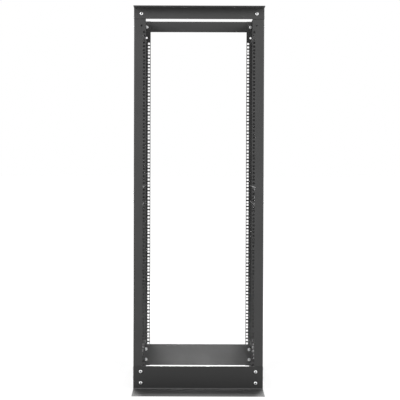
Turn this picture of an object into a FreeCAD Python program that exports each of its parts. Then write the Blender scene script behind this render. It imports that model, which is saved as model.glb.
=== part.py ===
"""Four-post open frame rack: L-section posts with a grid of square equipment holes, joined by
base angles, top angles and three braces a side. Millimetres, +Z up, front towards -Y,
origin on the floor at the middle of the footprint."""
import FreeCAD, Part
import os
import Sketcher
from FreeCAD import Rotation, Vector

doc = FreeCAD.newDocument("open_frame_rack")

# Driving dimensions: alias, value, what it measures
SIZES = (
    ("rack_width", 550.0, "outer face to outer face of the post webs"),
    ("mounting_depth", 609.6, "front hole face to rear hole face"),
    ("rack_units", 32, "rack units of equipment space"),
    ("unit_height", 44.45, "height of one rack unit"),
    ("end_margin", 98.5, "plain length of post beyond the equipment space, each end"),
    ("opening_width", 450.0, "clear width between the post flanges"),
    ("hole_edge", 7.55, "inner edge of a post flange to the middle of its square holes"),
    ("hole_size", 9.5, "side of a square hole"),
    ("hole_first", 6.35, "unit edge to the first and last hole centre"),
    ("web_depth", 76.0, "depth of a post, front to back"),
    ("post_thickness", 2.5, "post steel"),
    ("post_bend", 2.5, "inside bend radius of a post"),
    ("base_height", 100.0, "upright leg of a base angle"),
    ("base_reach", 152.4, "floor leg of a base angle"),
    ("base_thickness", 3.5, "base angle steel"),
    ("base_root", 3.0, "inside corner radius of a base angle"),
    ("base_toe", 1.2, "rounding of the leg edges of a base angle"),
    ("top_height", 50.0, "hanging leg of a top angle"),
    ("top_reach", 63.5, "level leg of a top angle"),
    ("top_thickness", 4.0, "top angle steel"),
    ("top_root", 2.0, "inside corner radius of a top angle"),
    ("top_toe", 1.5, "rounding of the leg edges of a top angle"),
    ("low_brace_height", 124.0, "web of a low side brace, which stands on the floor"),
    ("mid_brace_height", 76.0, "web of a middle side brace"),
    ("high_brace_height", 92.0, "web of a high side brace"),
    ("brace_flange", 30.0, "flange of a side brace"),
    ("brace_thickness", 3.0, "side brace steel"),
    ("brace_bend", 2.5, "inside bend radius of a side brace"),
    ("brace_end_gap", 18.0, "end of a side brace to the post flange"),
    ("mid_brace_level", 815.0, "floor to the middle of the middle brace's web"),
    ("high_brace_drop", 12.0, "post top to the top of the high brace"),
    ("brace_bolt_setback", 46.0, "post hole face to the brace bolts"),
    ("brace_bolt_spacing", 40.0, "between the two bolts at a brace end"),
    ("frame_bolt_offset", 6.5, "middle of a post flange to the angle bolts, towards the opening"),
    ("frame_bolt_end", 28.0, "post end to the nearest angle bolt"),
    ("frame_bolt_spacing", 49.5, "between the two flange holes at a post end"),
    ("bolt_diameter", 8.0, "shank of every bolt"),
    ("bolt_clearance", 1.0, "how much wider a bolt hole is than its bolt"),
    ("head_diameter", 14.0, "button head"),
    ("head_height", 4.4, "button head"),
    ("head_crown", 3.0, "rounding of a button head"),
    ("socket_width", 5.8, "hexagon socket, across corners"),
    ("socket_depth", 2.6, "hexagon socket"),
    ("nut_width", 15.0, "hexagon nut, across corners"),
    ("nut_height", 6.8, "hexagon nut"),
    ("bolt_end", 2.2, "bolt end beyond its nut"),
)

sheet = doc.addObject("Spreadsheet::Sheet", "sizes")
for row, (alias, number, meaning) in enumerate(SIZES, start=1):
    sheet.set("A%d" % row, alias)
    sheet.set("B%d" % row, str(number))
    sheet.set("C%d" % row, meaning)
    sheet.setAlias("B%d" % row, alias)
doc.recompute()

# Lengths that several pieces share, worked out from the sheet
POST_LENGTH = "(sizes.rack_units * sizes.unit_height + 2 * sizes.end_margin)"
FLANGE_WIDTH = "((sizes.rack_width - sizes.opening_width) / 2)"
HOLE_INSET = "(%s - sizes.hole_edge)" % FLANGE_WIDTH
HOLE_STEP = "(sizes.unit_height / 2 - sizes.hole_first)"
BOLT_HOLE = "(sizes.bolt_diameter + sizes.bolt_clearance)"
HALF_WIDTH = "sizes.rack_width / 2"
HALF_DEPTH = "sizes.mounting_depth / 2"
BOLT_INSET = "(%s / 2 + sizes.frame_bolt_offset)" % FLANGE_WIDTH
BOLT_LINE = "(%s - %s)" % (HALF_WIDTH, BOLT_INSET)
BRACE_LEVELS = {
    "low": "sizes.low_brace_height / 2",
    "mid": "sizes.mid_brace_level",
    "high": "(%s - sizes.high_brace_drop - sizes.high_brace_height / 2)" % POST_LENGTH,
}
ORIGIN = (-1, 1)
SIDES = {"left": -1, "right": 1}
ENDS = {"front": -1, "rear": 1}
HALF_TURN = Rotation(Vector(0, 0, 1), 180)
NO_TURN = Rotation()
EDGE_TOLERANCE = 0.01

nodes = []


def new_body(label):
    """One piece of the rack, which becomes a node of its own."""
    body = doc.addObject("PartDesign::Body", label)
    body.Label = label
    nodes.append(body)
    return body


def place(body, turn, x="0", y="0", z="0"):
    """Stands a piece in the rack: its turn, and the place of its own origin."""
    body.Placement = FreeCAD.Placement(Vector(), turn)
    body.setExpression("Placement.Base.x", x)
    body.setExpression("Placement.Base.y", y)
    body.setExpression("Placement.Base.z", z)


def new_sketch(body, plane):
    """An empty sketch on one of the piece's own origin planes."""
    sketch = body.newObject("Sketcher::SketchObject", "%s_sketch" % body.Name)
    support = [f for f in body.Origin.OriginFeatures if f.Role == plane][0]
    sketch.AttachmentSupport = [(support, "")]
    sketch.MapMode = "FlatFace"
    return sketch


def dimension(sketch, kind, first, second, sign, size):
    """Ties the X or Y distance between two sketch points to a size; sign says which lies further out."""
    near, far = (first, second) if sign > 0 else (second, first)
    index = sketch.addConstraint(Sketcher.Constraint(kind, near[0], near[1], far[0], far[1], 1.0))
    sketch.setExpression("Constraints[%d]" % index, size)


def polygon(sketch, points):
    """A closed outline of level and upright lines, with each corner held together."""
    count = len(points)
    corners = [Vector(x, y, 0) for x, y in points]
    lines = []
    for i, corner in enumerate(corners):
        following = corners[(i + 1) % count]
        line = sketch.addGeometry(Part.LineSegment(corner, following))
        lines.append(line)
        direction = "Horizontal" if corner.y == following.y else "Vertical"
        sketch.addConstraint(Sketcher.Constraint(direction, line))
    for i, line in enumerate(lines):
        sketch.addConstraint(Sketcher.Constraint("Coincident", line, 2, lines[(i + 1) % count], 1))
    return lines


def angle_outline(sketch, sx, sy, across, up, thickness):
    """An L with its outer corner at the sketch origin; sx and sy say which way the legs point."""
    flat = [(0, 0), (3, 0), (3, 1), (1, 1), (1, 3), (0, 3)]
    lines = polygon(sketch, [(sx * x, sy * y) for x, y in flat])
    sketch.addConstraint(Sketcher.Constraint("Coincident", lines[0], 1, *ORIGIN))
    dimension(sketch, "DistanceX", (lines[0], 1), (lines[0], 2), sx, across)
    dimension(sketch, "DistanceY", (lines[1], 1), (lines[1], 2), sy, thickness)
    dimension(sketch, "DistanceX", (lines[5], 1), (lines[3], 2), sx, thickness)
    dimension(sketch, "DistanceY", (lines[0], 1), (lines[4], 2), sy, up)


def channel_outline(sketch, flange, height, thickness):
    """A C with its web outside on the sketch's upright axis, level with the origin, opening to +X."""
    lines = polygon(sketch, [(0, -3), (3, -3), (3, -2), (1, -2), (1, 2), (3, 2), (3, 3), (0, 3)])
    sketch.addConstraint(Sketcher.Constraint("Symmetric", lines[0], 1, lines[7], 1, *ORIGIN))
    dimension(sketch, "DistanceY", (lines[0], 1), (lines[7], 1), 1, height)
    dimension(sketch, "DistanceX", (lines[0], 1), (lines[0], 2), 1, flange)
    dimension(sketch, "DistanceX", (lines[6], 2), (lines[6], 1), 1, flange)
    dimension(sketch, "DistanceX", (lines[0], 1), (lines[3], 1), 1, thickness)
    dimension(sketch, "DistanceY", (lines[1], 1), (lines[1], 2), 1, thickness)
    dimension(sketch, "DistanceY", (lines[5], 1), (lines[5], 2), 1, thickness)


def circle(sketch, x, y, diameter, sx=1, sy=1):
    """A round hole outline, x and y from the sketch origin in the directions sx and sy."""
    ring = sketch.addGeometry(Part.Circle(Vector(2 * sx, 2 * sy, 0), Vector(0, 0, 1), 1))
    dimension(sketch, "DistanceX", ORIGIN, (ring, 3), sx, x)
    dimension(sketch, "DistanceY", ORIGIN, (ring, 3), sy, y)
    index = sketch.addConstraint(Sketcher.Constraint("Diameter", ring, 2.0))
    sketch.setExpression("Constraints[%d]" % index, diameter)


def square(sketch, x, y, side, sx):
    """A square hole outline, x and y from the sketch origin to its middle, x in the direction sx."""
    lines = polygon(sketch, [(sx * 2, 2), (sx * 3, 2), (sx * 3, 3), (sx * 2, 3)])
    dimension(sketch, "DistanceX", (lines[0], 1), (lines[0], 2), sx, side)
    dimension(sketch, "DistanceY", (lines[1], 1), (lines[1], 2), 1, side)
    dimension(sketch, "DistanceX", ORIGIN, (lines[0], 1), sx, "%s - %s / 2" % (x, side))
    dimension(sketch, "DistanceY", ORIGIN, (lines[0], 1), 1, "%s - %s / 2" % (y, side))


def pad(body, sketch, length, middle):
    """Thickens an outline, one way or evenly about its plane."""
    feature = body.newObject("PartDesign::Pad", "%s_pad" % body.Name)
    feature.Profile = sketch
    feature.Midplane = middle
    feature.setExpression("Length", length)
    doc.recompute()
    return feature


def cut_through(body, sketch):
    """Punches an outline right through the piece, and makes sure that metal came out."""
    before = body.Shape.Volume
    feature = body.newObject("PartDesign::Pocket", "%s_holes" % body.Name)
    feature.Profile = sketch
    feature.Type = "ThroughAll"
    feature.Midplane = True
    doc.recompute()
    if body.Shape.Volume >= before:
        raise RuntimeError("%s: the holes cut nothing" % body.Label)
    return feature


def round_edges(body, radius, wanted):
    """Rounds the edges of the piece that a test on an edge picks out."""
    base = body.Tip
    names = ["Edge%d" % i for i, edge in enumerate(base.Shape.Edges, start=1) if wanted(edge)]
    feature = body.newObject("PartDesign::Fillet", "%s_round" % body.Name)
    feature.Base = (base, names)
    feature.setExpression("Radius", radius)
    doc.recompute()


def along(axis, first, second):
    """A test for straight edges along an axis, through the given place on the other two axes."""
    others = [i for i in range(3) if i != axis]

    def wanted(edge):
        start, end = edge.Vertexes[0].Point, edge.Vertexes[-1].Point
        places = ((others[0], first), (others[1], second))
        return all(abs(p[i] - at) < EDGE_TOLERANCE for p in (start, end) for i, at in places)

    return wanted


def size_of(alias):
    """The number in a cell of the sheet."""
    return float(sheet.get(alias))


def make_post(end, side):
    """A post of bent steel: a flange with the square holes and a web along the side of the rack.

    Its own origin is the outer corner of the bend on the floor, with the flange along X and the
    web along +Y. Rear posts are the same two hands, turned half round."""
    hand = -SIDES[side] if end == "front" else SIDES[side]
    body = new_body("%s_%s_post" % (end, side))
    profile = new_sketch(body, "XY_Plane")
    angle_outline(profile, hand, 1, FLANGE_WIDTH, "sizes.web_depth", "sizes.post_thickness")
    pad(body, profile, POST_LENGTH, False)
    wall = size_of("post_thickness")
    round_edges(body, "sizes.post_bend", along(2, hand * wall, wall))
    round_edges(body, "sizes.post_bend + sizes.post_thickness", along(2, 0, 0))

    unit = new_sketch(body, "XZ_Plane")
    for step in (-1, 0, 1):
        height = "(sizes.end_margin + sizes.unit_height / 2 + %d * %s)" % (step, HOLE_STEP)
        square(unit, HOLE_INSET, height, "sizes.hole_size", hand)
    first_unit = cut_through(body, unit)
    pattern = body.newObject("PartDesign::LinearPattern", "%s_units" % body.Name)
    pattern.Originals = [first_unit]
    pattern.Direction = (unit, ["V_Axis"])
    pattern.setExpression("Length", "(sizes.rack_units - 1) * sizes.unit_height")
    pattern.setExpression("Occurrences", "sizes.rack_units")
    body.Tip = pattern
    doc.recompute()

    flange_bolts = new_sketch(body, "XZ_Plane")
    low, next_up = "sizes.frame_bolt_end", "sizes.frame_bolt_end + sizes.frame_bolt_spacing"
    for height in (low, next_up, "%s - %s" % (POST_LENGTH, low), "%s - (%s)" % (POST_LENGTH, next_up)):
        circle(flange_bolts, BOLT_INSET, height, BOLT_HOLE, hand)
    cut_through(body, flange_bolts)

    web_bolts = new_sketch(body, "YZ_Plane")
    for middle in BRACE_LEVELS.values():
        for sign in "+-":
            height = "%s %s sizes.brace_bolt_spacing / 2" % (middle, sign)
            circle(web_bolts, "sizes.brace_bolt_setback", height, BOLT_HOLE)
    cut_through(body, web_bolts)
    turn = NO_TURN if end == "front" else HALF_TURN
    x = HALF_WIDTH if side == "right" else "-" + HALF_WIDTH
    y = HALF_DEPTH if end == "rear" else "-" + HALF_DEPTH
    place(body, turn, x, y)


def make_angle(end, label, up, reach, height, thickness, root, toe, bolt_heights):
    """A bent steel angle across the rack, bolted to the outer faces of two post flanges.

    Its own origin is its outer corner in the middle of its length, with the level leg along -Y.
    up is 1 where the other leg stands on it and -1 where it hangs from it."""
    body = new_body("%s_%s_angle" % (end, label))
    profile = new_sketch(body, "YZ_Plane")
    angle_outline(profile, -1, up, "sizes." + reach, "sizes." + height, "sizes." + thickness)
    pad(body, profile, "sizes.rack_width", True)
    wall, leg, rise = size_of(thickness), size_of(reach), size_of(height)
    round_edges(body, "sizes." + root, along(0, -wall, up * wall))
    round_edges(body, "sizes.%s + sizes.%s" % (root, thickness), along(0, 0, 0))
    round_edges(body, "sizes." + toe, along(0, -leg, up * wall))
    round_edges(body, "sizes." + toe, along(0, -wall, up * rise))
    bolts = new_sketch(body, "XZ_Plane")
    for sx in SIDES.values():
        for bolt_height in bolt_heights:
            circle(bolts, BOLT_LINE, bolt_height, BOLT_HOLE, sx, up)
    cut_through(body, bolts)
    return body


def make_base_angle(end):
    """A base angle, one leg flat on the floor and the other held by two bolts at each post."""
    bolt_heights = ("sizes.frame_bolt_end", "sizes.frame_bolt_end + sizes.frame_bolt_spacing")
    body = make_angle(end, "base", 1, "base_reach", "base_height", "base_thickness",
                      "base_root", "base_toe", bolt_heights)
    turn = NO_TURN if end == "front" else HALF_TURN
    place(body, turn, y=HALF_DEPTH if end == "rear" else "-" + HALF_DEPTH)


def make_top_angle(end):
    """A top angle, level with the post ends and held by one bolt at each post."""
    body = make_angle(end, "top", -1, "top_reach", "top_height", "top_thickness",
                      "top_root", "top_toe", ("sizes.frame_bolt_end",))
    turn = NO_TURN if end == "front" else HALF_TURN
    place(body, turn, y=HALF_DEPTH if end == "rear" else "-" + HALF_DEPTH, z=POST_LENGTH)


def make_brace(side, level):
    """A side brace between a front and a rear post: a channel, its web flat on the inside of their webs.

    Its own origin is the middle of its web."""
    body = new_body("%s_%s_brace" % (side, level))
    web = "%s_brace_height" % level
    profile = new_sketch(body, "XZ_Plane")
    channel_outline(profile, "sizes.brace_flange", "sizes." + web, "sizes.brace_thickness")
    pad(body, profile, "sizes.mounting_depth - 2 * (sizes.post_thickness + sizes.brace_end_gap)", True)
    wall, half = size_of("brace_thickness"), size_of(web) / 2
    for sign in (-1, 1):
        round_edges(body, "sizes.brace_bend", along(1, wall, sign * (half - wall)))
        round_edges(body, "sizes.brace_bend + sizes.brace_thickness", along(1, 0, sign * half))
    bolts = new_sketch(body, "YZ_Plane")
    for sx in ENDS.values():
        for sy in (-1, 1):
            circle(bolts, "%s - sizes.brace_bolt_setback" % HALF_DEPTH,
                   "sizes.brace_bolt_spacing / 2", BOLT_HOLE, sx, sy)
    cut_through(body, bolts)
    inner = "(%s - sizes.post_thickness)" % HALF_WIDTH
    turn = HALF_TURN if side == "right" else NO_TURN
    place(body, turn, inner if side == "right" else "-" + inner, z=BRACE_LEVELS[level])


def make_bolts(label, grip, spacing, inward, x, y, z):
    """Button-head bolts with their nuts: a pair one above the other, or one where spacing is None.

    The body's own Z is the bolt axis from the head's seat inwards, and its own Y is up."""
    body = new_body(label)
    body.AllowCompound = True
    drop = "-%s / 2" % spacing if spacing else "0"

    def piece(kind, suffix, sizes, start):
        feature = body.newObject("PartDesign::%s" % kind, "%s_%s" % (label, suffix))
        for name, size in sizes.items():
            feature.setExpression(name, size)
        feature.setExpression("Placement.Base.y", drop)
        feature.setExpression("Placement.Base.z", start)
        return feature

    head = piece("AdditiveCylinder", "head",
                 {"Radius": "sizes.head_diameter / 2", "Height": "sizes.head_height"},
                 "-sizes.head_height")
    shank = piece("AdditiveCylinder", "shank",
                  {"Radius": "sizes.bolt_diameter / 2",
                   "Height": "%s + sizes.nut_height + sizes.bolt_end" % grip}, "0")
    nut = piece("AdditivePrism", "nut",
                {"Circumradius": "sizes.nut_width / 2", "Height": "sizes.nut_height"}, grip)
    socket = piece("SubtractivePrism", "socket",
                   {"Circumradius": "sizes.socket_width / 2", "Height": "sizes.socket_depth"},
                   "-sizes.head_height")
    doc.recompute()
    if spacing:
        pattern = body.newObject("PartDesign::LinearPattern", "%s_pair" % label)
        pattern.Originals = [head, shank, nut, socket]
        upright = [f for f in body.Origin.OriginFeatures if f.Role == "Y_Axis"][0]
        pattern.Direction = (upright, [""])
        pattern.setExpression("Length", spacing)
        pattern.Occurrences = 2
        body.Tip = pattern
        doc.recompute()
    rim, top = size_of("head_diameter") / 2, -size_of("head_height")

    def head_rim(edge):
        curve = edge.Curve
        return isinstance(curve, Part.Circle) and abs(curve.Radius - rim) < EDGE_TOLERANCE \
            and abs(curve.Center.z - top) < EDGE_TOLERANCE

    round_edges(body, "sizes.head_crown", head_rim)
    place(body, Rotation(Vector(), Vector(0, 0, 1), inward, "ZYX"), x, y, z)


for end in ENDS:
    for side in SIDES:
        make_post(end, side)
    make_base_angle(end)
    make_top_angle(end)

for side in SIDES:
    for level in BRACE_LEVELS:
        make_brace(side, level)

for end, toward in ENDS.items():
    inward = Vector(0, -toward, 0)
    sign = "" if toward > 0 else "-"
    for side, out in SIDES.items():
        x = BOLT_LINE if out > 0 else "-" + BOLT_LINE
        make_bolts("%s_%s_base_bolts" % (end, side), "(sizes.base_thickness + sizes.post_thickness)",
                   "sizes.frame_bolt_spacing", inward, x,
                   "%s(%s + sizes.base_thickness)" % (sign, HALF_DEPTH),
                   "sizes.frame_bolt_end + sizes.frame_bolt_spacing / 2")
        make_bolts("%s_%s_top_bolt" % (end, side), "(sizes.top_thickness + sizes.post_thickness)",
                   None, inward, x, "%s(%s + sizes.top_thickness)" % (sign, HALF_DEPTH),
                   "%s - sizes.frame_bolt_end" % POST_LENGTH)
        for level, middle in BRACE_LEVELS.items():
            make_bolts("%s_%s_%s_brace_bolts" % (end, side, level),
                       "(sizes.post_thickness + sizes.brace_thickness)", "sizes.brace_bolt_spacing",
                       Vector(-out, 0, 0), HALF_WIDTH if out > 0 else "-" + HALF_WIDTH,
                       "%s(%s - sizes.brace_bolt_setback)" % (sign, HALF_DEPTH), middle)

doc.recompute()
failed = [o.Name for o in doc.Objects if {"Invalid", "Error"} & set(o.State)]
failed += [n.Label for n in nodes if n.Shape.isNull() or not n.Shape.isValid()]
if failed:
    raise RuntimeError("these objects did not build: %s" % ", ".join(failed))

os.makedirs("parts", exist_ok=True)
for node in nodes:
    node.Shape.exportStep("parts/%s.step" % node.Label)
    print("%-34s %d solids %10.1f mm3" % (node.Label, len(node.Shape.Solids), node.Shape.Volume))
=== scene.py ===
import math
import bpy
import numpy as np
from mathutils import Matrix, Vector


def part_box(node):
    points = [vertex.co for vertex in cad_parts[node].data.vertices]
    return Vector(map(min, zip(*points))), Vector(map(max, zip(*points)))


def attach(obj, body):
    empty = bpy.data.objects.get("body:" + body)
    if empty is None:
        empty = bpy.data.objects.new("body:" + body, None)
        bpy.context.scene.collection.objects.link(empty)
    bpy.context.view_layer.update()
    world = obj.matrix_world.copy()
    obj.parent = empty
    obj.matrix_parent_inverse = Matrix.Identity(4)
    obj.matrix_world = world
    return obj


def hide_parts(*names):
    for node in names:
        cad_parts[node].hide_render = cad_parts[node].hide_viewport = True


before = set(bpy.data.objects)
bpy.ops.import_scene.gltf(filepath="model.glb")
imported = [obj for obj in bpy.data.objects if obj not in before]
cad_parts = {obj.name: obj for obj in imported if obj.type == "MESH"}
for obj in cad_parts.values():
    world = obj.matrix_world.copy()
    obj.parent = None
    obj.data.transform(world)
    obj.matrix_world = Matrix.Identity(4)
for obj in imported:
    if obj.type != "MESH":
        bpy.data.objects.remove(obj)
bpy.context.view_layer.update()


# Base angles: two wide steel angles, front and rear, that stand on the floor and carry the posts.
# Bent steel under a satin black powder coat, drilled for the post bolts.
# The front one's coat is painted blacker than the rest, as painted shade. Shoes have scuffed the floor
# legs, and bolt heads left rings; painted highlights lighten the legs' toes, corners and root.

class Wire:
    """One socket of a node tree. Arithmetic on wires adds Math nodes to that tree."""

    def __init__(self, tree, socket=None):
        self.tree = tree
        self.socket = socket

    def add(self, kind, settings=None, values=None, output=0):
        """Any node: its settings first, then the numbers or wires that go to its sockets."""
        node = self.tree.nodes.new(kind)
        for name, setting in (settings or {}).items():
            setattr(node, name, setting)
        for name, value in (values or {}).items():
            if isinstance(value, Wire):
                self.tree.links.new(value.socket, node.inputs[name])
            else:
                node.inputs[name].default_value = value
        return Wire(self.tree, node.outputs[output] if node.outputs else None)

    def pick(self, output):
        """Another output of the node that this wire comes from."""
        return Wire(self.tree, self.socket.node.outputs[output])

    def math(self, operation, *values):
        """A Math node on numbers or wires."""
        return self.add("ShaderNodeMath", {"operation": operation}, dict(enumerate(values)))

    def __add__(self, other):
        return self.math("ADD", self, other)

    __radd__ = __add__

    def __sub__(self, other):
        return self.math("SUBTRACT", self, other)

    def __rsub__(self, other):
        return self.math("SUBTRACT", other, self)

    def __mul__(self, other):
        return self.math("MULTIPLY", self, other)

    __rmul__ = __mul__

    def __abs__(self):
        return self.math("ABSOLUTE", self)


def blank(shaded):
    """Clears the nodes of a material or a world, and gives a wire to add new ones from."""
    shaded.use_nodes = True
    shaded.node_tree.nodes.clear()
    return Wire(shaded.node_tree)


def fade(wire, empty, full):
    """0 where a wire has one value and 1 where it has the other, with a smooth run between."""
    return wire.add("ShaderNodeMapRange", {"interpolation_type": "SMOOTHSTEP"},
                    {"Value": wire, "From Min": empty, "From Max": full})


def nearest(distances):
    """The smallest of several wires."""
    least = distances[0]
    for distance in distances[1:]:
        least = least.math("MINIMUM", least, distance)
    return least


def noise(place, scale, detail):
    """Even noise about 0.5, with scale cells to the metre."""
    return place.add("ShaderNodeTexNoise", values={"Vector": place, "Scale": scale, "Detail": detail})


def tint(amount, first, second):
    """The first colour where a wire is 0, the second where it is 1 or more, and mixes between."""
    # Sockets 6 and 7 and output 2 are the ones that a Mix node keeps for colours
    return amount.add("ShaderNodeMix", {"data_type": "RGBA"}, {0: amount, 6: first, 7: second}, 2)


def powder_coat(name, rub_and_sheen, black, mirror, flow):
    """Satin black powder coat. rub_and_sheen(place, x, y, z) is 0 where it is whole, 1 or more where
    scuffed through or lightened by a painted highlight.

    The film is a little uneven over a hand's breadth, has the fine orange peel that cured powder
    leaves, and is rounded over every sheared edge. black is its shade, mirror how much it reflects,
    and flow its roughness where the film is thick."""
    thin_gain, rub_and_sheen_grey = 1.12, (0.5, 0.5, 0.5, 1)
    thick_film = (black, black, black, 1)
    thin_film = (thin_gain * black, thin_gain * black, thin_gain * black, 1)
    film_per_metre, thick_below, thin_above = 9, 0.3, 0.7
    peel_per_metre, peel_depth, peel_strength, edge_radius = 420, 0.00012, 0.35, 0.0007
    grain_per_metre, grain_height, kept_grain, lost_grain = 1500, 0.4, 0.25, 0.7
    thin_rough, grain_rough, worn_smooth = 0.03, 0.05, 0.06
    coat = bpy.data.materials.new(name)
    start = blank(coat)
    place = start.add("ShaderNodeTexCoord", output="Object")
    axes = start.add("ShaderNodeSeparateXYZ", values={"Vector": place})
    film = fade(noise(place, film_per_metre, detail=4), thick_below, thin_above)
    peel = noise(place, peel_per_metre, detail=2)
    grain = noise(place, grain_per_metre, detail=1)
    wear_and_sheen = rub_and_sheen(place, *(axes.pick(axis) for axis in "XYZ")) * fade(grain, kept_grain, lost_grain)
    colour = tint(wear_and_sheen, tint(film, thick_film, thin_film), rub_and_sheen_grey)
    edges = start.add("ShaderNodeBevel", {"samples": 4}, {"Radius": edge_radius})
    relief = start.add("ShaderNodeBump", values={
        "Strength": peel_strength, "Distance": peel_depth,
        "Height": peel + grain_height * grain, "Normal": edges})
    surface = start.add("ShaderNodeBsdfPrincipled", values={
        "Base Color": colour, "Specular IOR Level": mirror, "Normal": relief,
        "Roughness": flow + thin_rough * film + grain_rough * grain - worn_smooth * wear_and_sheen})
    start.add("ShaderNodeOutputMaterial", values={"Surface": surface})
    return coat


def paint(nodes, coat):
    """Puts one finish on CAD nodes."""
    for node in nodes:
        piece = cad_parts[node]
        piece.data.materials.clear()
        piece.data.materials.append(coat)


def bolts_of(node):
    """The axis that a node's bolts run along, their head radius and the middles of their shanks.

    Bolts through the side braces run along X and the others along Y. A node holds one bolt, or two
    one above the other, and its box reaches a head's radius beyond them."""
    low, high = (np.array(corner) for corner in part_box(node))
    along = 0 if "brace" in node else 1
    radius = (high - low)[1 - along] / 2
    heights = [low[2] + radius]
    if high[2] - low[2] > 3 * radius:
        heights.append(high[2] - radius)
    middle = (low + high) / 2
    return along, radius, [np.array((middle[0], middle[1], height)) for height in heights]


def turned_rings(across, up, nodes):
    """How far turning bolts of one size have scuffed the coat: most at the edge of each head.

    It fades out within a quarter of the head's radius beyond."""
    ring_rub, ring_inside, ring_outside = 0.09, 1.03, 1.25
    distances = []
    for node in nodes:
        along, radius, middles = bolts_of(node)
        for middle in middles:
            sideways = across - abs(middle[1 - along])
            upwards = up - middle[2]
            distances.append(sideways * sideways + upwards * upwards)
    squared = nearest(distances)
    return ring_rub * fade(squared.math("SQRT", squared), ring_outside * radius, ring_inside * radius)


def base_rub_and_sheen(place, x, y, z):
    """Shoe scuffs along the floor leg, a lighter toe that is partly scuffs and partly painted sheen, a
    painted reflection at its corners, a painted highlight along the root, and bolt rings.
    """
    leg_top, leg_film = 0.0037, 0.0006
    scuffs_along, scuffs_deep, scuff_from, scuff_full = 14, 60, 0.6, 0.78
    toe_from, toe_edge = 0.40, 0.457
    corner_slant, corner_from, corner_tip = 0.25, 0.335, 0.39
    root_from, root_foot, upright_middle, upright_outside = 0.318, 0.312, 0.306, 0.307
    all_over, scuffed, toe_scuff_and_sheen, corner_reflection, root_highlight = 0.03, 0.03, 0.27, 1.4, 0.3
    stretched = place.add("ShaderNodeMapping", values={
        "Vector": place, "Scale": (scuffs_along, scuffs_deep, 1)})
    scuffs = fade(noise(stretched, scale=1, detail=3), scuff_from, scuff_full)
    corners = fade(abs(x) + corner_slant * abs(y), corner_from, corner_tip)
    toe = fade(abs(y), toe_from, toe_edge)
    outside = fade(abs(y), upright_middle, upright_outside)
    # A painted highlight along the root of the floor leg.
    root_strip = fade(abs(y) + z, root_from, root_foot) * outside
    on_leg = fade(z, leg_top + leg_film, leg_top)
    # The toe is lighter partly from shoe scuffs and partly as a painted sheen; the corners are lighter
    # as a painted reflection.
    wear_and_sheen = on_leg * (all_over + scuffed * scuffs + toe_scuff_and_sheen * toe + corner_reflection * corners)
    return wear_and_sheen + root_highlight * root_strip + turned_rings(abs(x), z, ["front_right_base_bolts"])


# The front coat is a blacker copy of the same paint, as painted shade; the rear one keeps the paint's
# own black.
front_shaded_coat = powder_coat("front_base_shaded_coat", base_rub_and_sheen, black=0.015, mirror=0.5, flow=0.46)
rear_coat = powder_coat("rear_base_coat", base_rub_and_sheen, black=0.05, mirror=0.35, flow=0.46)
paint(["front_base_angle"], front_shaded_coat)
paint(["rear_base_angle"], rear_coat)


# Posts: four bent steel L sections, each a flange with 32 units of square holes and a plain web.
# The powder draws back from the punched edges, so the coat is thinnest round the holes.
# The front two stand behind the base angle's upright leg, and the rear two before theirs.

levels = ("low", "mid", "high")
brace_bolts = ["rear_right_%s_brace_bolts" % level for level in levels]


def post_rub(place, x, y, z):
    """Thin coat round the square holes, and the rings of the brace bolts on the web.

    Holes stand at a seventh, a half and six sevenths of each rack unit, in columns beside the bay."""
    unit, units, unit_edge, plain_end = 0.04445, 32, 0.02, 0.0985
    column, hole_half, halo, holes = 0.23255, 0.00475, 0.0016, (1 / 7, 1 / 2, 6 / 7)
    web_inside, web_outside, thin_coat = 0.2715, 0.2722, 0.05
    step = (z - plain_end) * (1 / unit)
    share = step.math("FRACT", step)
    off_hole = nearest([abs(share - hole) for hole in holes]) * unit
    off_column = abs(abs(x) - column)
    square = off_hole.math("MAXIMUM", off_hole, off_column)
    in_columns = fade(step, -unit_edge, 0) * fade(step, units + unit_edge, units)
    thin = fade(square, hole_half + halo, hole_half) * in_columns
    web = fade(abs(x), web_inside, web_outside)
    return thin_coat * thin + web * turned_rings(abs(y), z, brace_bolts)


posts = ["%s_%s_post" % (end, side) for end in ("front", "rear") for side in ("left", "right")]
paint(posts, powder_coat("post_coat", post_rub, black=0.05, mirror=0.35, flow=0.46))


# Side braces: three a side, from a front post to a rear post, bolted flat inside the post webs.
# Channels of bent steel under the same coat, flanges inwards. The lowest and tallest is on the floor.

def brace_rub(place, x, y, z):
    """Rings where the nuts turned on the web."""
    return turned_rings(abs(y), z, brace_bolts)


braces = ["%s_%s_brace" % (side, level) for side in ("left", "right") for level in levels]
paint(braces, powder_coat("brace_coat", brace_rub, black=0.05, mirror=0.35, flow=0.5))


# Top angles: two lighter steel angles, level with the post ends, that tie each pair of posts together.
# Bent steel under the same coat, each held by one bolt at either end.

def top_rub(place, x, y, z):
    """Rings of the two bolts."""
    return turned_rings(abs(x), z, ["front_right_top_bolt"])


top_coat = powder_coat("top_coat", top_rub, black=0.05, mirror=0.35, flow=0.55)
paint(["front_top_angle", "rear_top_angle"], top_coat)


# Bolts: button heads with hexagon sockets outside, and hexagon nuts with the thread's end inside.
# Cold-headed steel, bright zinc plated, with fine rings left on the heads by the forming die.

HEAD_HEIGHT, NUT_HEIGHT, BOLT_END = 0.0044, 0.0068, 0.0022
SOCKET_FLATS, SOCKET_DEPTH, NUT_FLATS = 0.005, 0.0026, 0.013
SHANK_RADIUS, PITCH, THREAD_DEPTH = 0.004, 0.00125, 0.00068
SHARP_ANGLE = math.radians(35)
AROUND = 48
ANGLES = np.arange(AROUND) * 2 * math.pi / AROUND
STEP = np.arange(AROUND)
AFTER = (STEP + 1) % AROUND


def hexagon(flats):
    """Radius of a hexagon at each angle: half its width over the cosine of the turn from a flat."""
    return flats / 2 / np.cos((ANGLES + math.pi / 6) % (math.pi / 3) - math.pi / 6)


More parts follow.
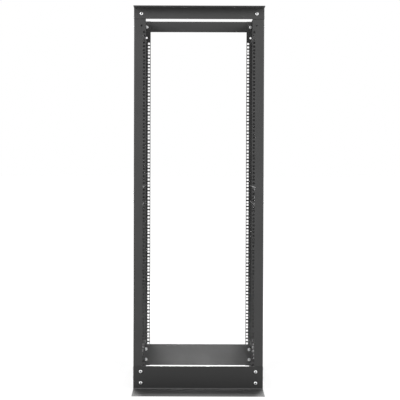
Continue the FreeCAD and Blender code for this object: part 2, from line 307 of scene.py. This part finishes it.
def rings(radius, height):
    """Points of rings about the bolt's axis: (r cos a, r sin a, h) for radius r[i, j] at height h[i]."""
    level = np.broadcast_to(height[:, None], radius.shape)
    return np.stack([radius * np.cos(ANGLES), radius * np.sin(ANGLES), level], -1).reshape(-1, 3)


def quads(count, closed):
    """Faces between each ring and the next, as indices; closed joins the last ring to the first."""
    ring = np.arange(count if closed else count - 1)[:, None]
    here, there = ring * AROUND, (ring + 1) % count * AROUND
    return np.stack([here + STEP, here + AFTER, there + AFTER, there + STEP], -1).reshape(-1, 4)


def bolt_skin(head_radius, grip):
    """A bolt as rings from the bottom of its socket over the head, down the shank to its threaded end.

    The dome is a quarter ellipse. The thread's radius swings from crest to root as a triangle wave of
    height over pitch less turn, flattened at both, and a cone ends it. A point closes either end."""
    rim, flat_radius, dome_rings = 0.0008, 0.0037, 8
    break_edge, countersink, drill_point = 0.00015, 0.0003, 0.0004
    thread_rings, thread_flat = 30, 0.1
    ones = np.ones(AROUND)
    dome = np.linspace(math.pi / 2, 0, dome_rings)
    socket = hexagon(SOCKET_FLATS)
    top = -HEAD_HEIGHT
    head = [(socket, top + SOCKET_DEPTH), (socket, top + countersink)]
    head += [(ones * (socket.max() + countersink), top)]
    head += [(ones * (flat_radius + (head_radius - flat_radius) * math.cos(t)),
              -rim - (HEAD_HEIGHT - rim) * math.sin(t)) for t in dome]
    head += [(ones * head_radius, -break_edge), (ones * (head_radius - break_edge), 0.0)]
    head += [(ones * SHANK_RADIUS, 0.0)]
    end = grip + NUT_HEIGHT + BOLT_END
    heights = np.linspace(end - BOLT_END - PITCH, end, thread_rings)
    wave = np.abs(2 * ((heights[:, None] / PITCH - ANGLES / (2 * math.pi)) % 1) - 1)
    cut = np.clip((wave - thread_flat) / (1 - 2 * thread_flat), 0, 1)
    cone = SHANK_RADIUS - THREAD_DEPTH + (end - heights)[:, None]
    thread = np.minimum(SHANK_RADIUS - THREAD_DEPTH * cut, cone)
    radius = np.vstack([r for r, _ in head] + [thread])
    height = np.concatenate([[h for _, h in head], heights])
    tips = [(0, 0, top + SOCKET_DEPTH + drill_point), (0, 0, end)]
    points = np.vstack([rings(radius, height), tips])
    count = len(height)
    last_ring = (count - 1) * AROUND
    first_tip = np.full(AROUND, count * AROUND)
    last_tip = first_tip + 1
    ends = np.vstack([np.stack([first_tip, AFTER, STEP], -1),
                      np.stack([last_ring + STEP, last_ring + AFTER, last_tip], -1)])
    return points, quads(count, False).tolist() + ends.tolist()


def nut_skin(grip):
    """A nut as closed rings: up the outside, in over the top, and back down the bore.

    The outside is the smaller of a hexagon and the cones that chamfer its corners at 30 degrees."""
    face_share, bore_slack, bore_chamfer, cone_rings = 0.97, 0.0002, 0.0006, 6
    corner = NUT_FLATS / math.sqrt(3)
    face = face_share * NUT_FLATS / 2
    bore = SHANK_RADIUS + bore_slack
    rise = np.linspace(0, (corner - face) * math.tan(math.pi / 6), cone_rings)
    cone = np.linspace(face, corner, cone_rings)
    outside = np.minimum(hexagon(NUT_FLATS), np.concatenate([cone, cone[::-1]])[:, None])
    mouth = bore + bore_chamfer
    inside = np.array([mouth, bore, bore, mouth])[:, None] * np.ones(AROUND)
    down_bore = [NUT_HEIGHT, NUT_HEIGHT - bore_chamfer, bore_chamfer, 0]
    height = np.concatenate([rise, NUT_HEIGHT - rise[::-1], down_bore])
    return rings(np.vstack([outside, inside]), height + grip), quads(len(height), True).tolist()


def zinc_plate():
    """Bright zinc: a mirror-grey metal, slightly mottled, with fine rings about each bolt's axis.

    The socket is coloured near black, as painted shade in its recess."""
    bright, dull, socket_shade_colour = (0.8, 0.81, 0.82, 1), (0.64, 0.64, 0.63, 1), (0.05, 0.05, 0.05, 1)
    ring_pitch, ring_depth, ring_strength = 0.00035, 0.00002, 0.3
    mottle_per_metre, bright_below, dull_above = 260, 0.35, 0.7
    bright_rough, dull_more = 0.3, 0.12
    plate = bpy.data.materials.new("zinc_plate")
    start = blank(plate)
    place = start.add("ShaderNodeTexCoord", output="Object")
    mottle = fade(noise(place, mottle_per_metre, detail=3), bright_below, dull_above)
    from_axis = start.add("ShaderNodeAttribute", {"attribute_name": "from_axis"}, output="Fac")
    wave = from_axis * (2 * math.pi / ring_pitch)
    ripple = wave.math("SINE", wave)
    socket_shade = start.add("ShaderNodeAttribute", {"attribute_name": "socket_shade"}, output="Fac")
    # Near black in the socket: painted shade in the recess.
    colour = tint(socket_shade, tint(mottle, bright, dull), socket_shade_colour)
    relief = start.add("ShaderNodeBump", values={
        "Strength": ring_strength, "Distance": ring_depth, "Height": ripple})
    surface = start.add("ShaderNodeBsdfPrincipled", values={
        "Base Color": colour, "Metallic": 1.0, "Normal": relief,
        "Roughness": bright_rough + dull_more * mottle})
    start.add("ShaderNodeOutputMaterial", values={"Surface": surface})
    return plate


zinc = zinc_plate()
up = np.array((0.0, 0.0, 1.0))
# A socket's corners stand 0.577 of its width from the axis, so this takes in all of it
socket_reach = 0.6 * SOCKET_FLATS

for node in [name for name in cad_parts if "bolt" in name]:
    along, head_radius, middles = bolts_of(node)
    low, high = (np.array(corner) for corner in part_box(node))
    inward = np.zeros(3)
    inward[along] = -np.sign(middles[0][along])
    grip = (high - low)[along] - HEAD_HEIGHT - NUT_HEIGHT - BOLT_END
    axes = np.stack([np.cross(up, inward), up, inward])
    points, faces, reach, sunk = [], [], [], []
    for middle in middles:
        seat = middle.copy()
        seat[along] = (low if inward[along] > 0 else high)[along] + HEAD_HEIGHT * inward[along]
        for skin_points, skin_faces in (bolt_skin(head_radius, grip), nut_skin(grip)):
            before = sum(len(p) for p in points)
            points.append(skin_points @ axes + seat)
            reach.append(np.hypot(skin_points[:, 0], skin_points[:, 1]))
            sunk.append((reach[-1] < socket_reach) & (skin_points[:, 2] < 0))
            faces += [[before + i for i in face] for face in skin_faces]
    mesh = bpy.data.meshes.new("zinc_" + node)
    mesh.from_pydata(np.vstack(points).tolist(), [], faces)
    for name, values in (("from_axis", reach), ("socket_shade", sunk)):
        marks = mesh.attributes.new(name, "FLOAT", "POINT")
        marks.data.foreach_set("value", np.concatenate(values).astype(float))
    mesh.shade_smooth()
    mesh.set_sharp_from_angle(angle=SHARP_ANGLE)
    mesh.materials.append(zinc)
    bolts = bpy.data.objects.new("zinc_" + node, mesh)
    bpy.context.scene.collection.objects.link(bolts)
    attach(bolts, "root")
    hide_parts(node)


# Floor: a plain sheet of paper under the rack. It keeps the rack's soft shadow, and to the eye and in
# reflections it glows, so that it shows white and meets the white surround without a line.

def seen(start):
    """1 for what the camera sees, directly, in a reflection or through glass, and 0 for other light."""
    path = start.add("ShaderNodeLightPath", output="Is Camera Ray")
    either = path.math("MAXIMUM", path, path.pick("Is Glossy Ray"))
    return either.math("MAXIMUM", either, path.pick("Is Transmission Ray"))


floor_half, floor_shade, no_glow = 40.0, (0.4, 0.4, 0.4, 1), (0, 0, 0, 1)
near_glow, far_glow, near, far = (0.8, 0.8, 0.8, 1), (1, 1, 1, 1), 0.5, 2.5
sheet = bpy.data.meshes.new("floor")
corners = floor_half * np.array([(-1, -1, 0), (1, -1, 0), (1, 1, 0), (-1, 1, 0)])
sheet.from_pydata(corners.tolist(), [], [(0, 1, 2, 3)])
paper = bpy.data.materials.new("floor_paper")
start = blank(paper)
place = start.add("ShaderNodeTexCoord", output="Object")
away = start.add("ShaderNodeVectorMath", {"operation": "LENGTH"}, {0: place}, "Value")
glow = tint(seen(start), no_glow, tint(fade(away, near, far), near_glow, far_glow))
surface = start.add("ShaderNodeBsdfPrincipled", values={
    "Base Color": floor_shade, "Roughness": 0.9, "Specular IOR Level": 0.0,
    "Emission Color": glow, "Emission Strength": 1.0})
start.add("ShaderNodeOutputMaterial", values={"Surface": surface})
sheet.materials.append(paper)
floor = bpy.data.objects.new("floor", sheet)
bpy.context.scene.collection.objects.link(floor)


# Light: a white surround that shows as pure white but lights the rack at a fifth of that level.
# Three large soft lamps, two before the rack and one high behind it, and two narrow ones: one straight
# overhead, for the inside of the posts, and a small spot over the bay, for the rear base angle.

def hang(lamp, stand, target):
    """Puts a lamp on its stand and turns it towards its target."""
    light = bpy.data.objects.new(lamp.name, lamp)
    light.location = stand
    aim = light.location.copy()
    aim[:] = np.array(target) - np.array(stand)
    light.rotation_euler = aim.to_track_quat("-Z", "Y").to_euler()
    bpy.context.scene.collection.objects.link(light)


surround_light, surround_white = (0.2, 0.2, 0.2, 1), (1.0, 1.0, 1.0, 1)
world = bpy.data.worlds.new("surround")
start = blank(world)
shade = tint(seen(start), surround_light, surround_white)
background = start.add("ShaderNodeBackground", values={"Color": shade, "Strength": 1.0})
start.add("ShaderNodeOutputWorld", values={"Surface": background})
bpy.context.scene.world = world

# Each lamp's stand, its width in metres, its power in watts and its spread in degrees
area_lamps = {"left_lamp": ((-2.2, -2.4, 2.1), 1.2, 51, 180),
              "right_lamp": ((2.2, -2.4, 2.1), 1.2, 51, 180),
              "rear_lamp": ((0.0, 3.4, 3.6), 1.6, 40, 180),
              "top_lamp": ((0.0, 0.0, 4.2), 0.3, 2.4, 9)}
rack_middle, rear_base, over_bay = (0.0, 0.0, 0.8), (0.0, 0.3, 0.06), (0.0, -1.0, 2.2)
for name, (stand, width, power, spread) in area_lamps.items():
    lamp = bpy.data.lights.new(name, "AREA")
    lamp.size = width
    lamp.energy = power
    lamp.spread = math.radians(spread)
    hang(lamp, stand, rack_middle)

spot = bpy.data.lights.new("bay_lamp", "SPOT")
spot.energy = 450
spot.shadow_soft_size = 0.05
spot.spot_size = math.radians(14)
spot.spot_blend = 1.0
hang(spot, over_bay, rear_base)


# Camera: straight before the rack at waist height, a long lens tipped down a little, with the frame
# shifted so that the rack stands where the picture has it.

eye, lens = (-0.0233, -5.7116, 1.0216), 115.05
tip_down, lean = math.radians(1.096), math.radians(-0.18)
shift_right, shift_up = 0.0168, -0.0667
camera = bpy.data.cameras.new("camera")
camera.sensor_width = 36
camera.lens = lens
camera.shift_x = shift_right
camera.shift_y = shift_up
viewer = bpy.data.objects.new("camera", camera)
viewer.location = eye
viewer.rotation_euler = (math.pi / 2 - tip_down, lean, 0)
bpy.context.scene.collection.objects.link(viewer)
bpy.context.scene.camera = viewer
bpy.context.scene.view_settings.view_transform = "Standard"
